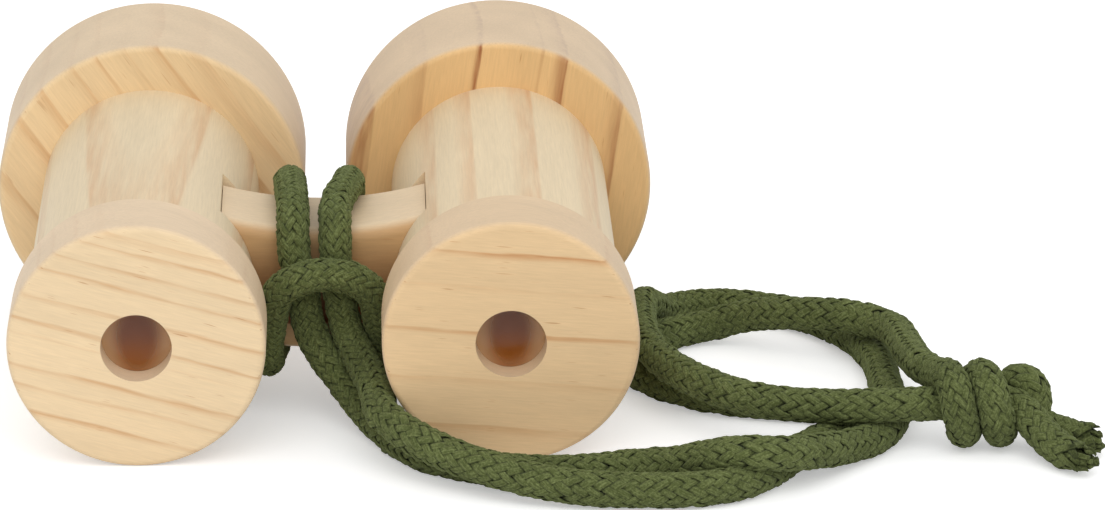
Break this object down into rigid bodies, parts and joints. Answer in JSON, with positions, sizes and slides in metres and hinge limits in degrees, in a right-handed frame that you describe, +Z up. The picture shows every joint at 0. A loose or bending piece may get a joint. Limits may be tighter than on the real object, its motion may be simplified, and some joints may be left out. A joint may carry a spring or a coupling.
{
  "type": "toy binoculars",
  "caption": "Wooden toy binoculars: turned barrels with clear lens discs, glued to an arched bridge, with a knotted neck cord hitched round the bridge.",
  "frame": {"origin": "on the table, under the middle of the wooden body's bounding box", "axes": "+Z up from the table, barrels along Y with the objectives towards +Y and the eyepieces towards -Y, +X to the right seen from the eyepieces"},
  "size_m": [0.1669, 0.1121, 0.05],
  "materials": {
    "eyepiece_wood": "plain sanded pine, unpainted",
    "tube_wood": "plain sanded pine, unpainted",
    "objective_wood": "plain sanded pine, unpainted",
    "bridge_wood": "plain sanded pine, unpainted",
    "clear_plastic": "clear and polished",
    "cotton_cord": "braided cotton, matt"
  },
  "bodies": {
    "root": {"left_eyepiece": "eyepiece_wood", "right_eyepiece": "eyepiece_wood", "left_tube": "tube_wood", "right_tube": "tube_wood", "left_objective": "objective_wood", "right_objective": "objective_wood", "bridge": "bridge_wood", "left_lens": "clear_plastic", "right_lens": "clear_plastic", "cord_hitch": "cotton_cord", "left_strand": "cotton_cord", "right_strand": "cotton_cord", "knot_turns": "cotton_cord", "knot_core": "cotton_cord"}
  },
  "joints": []
}
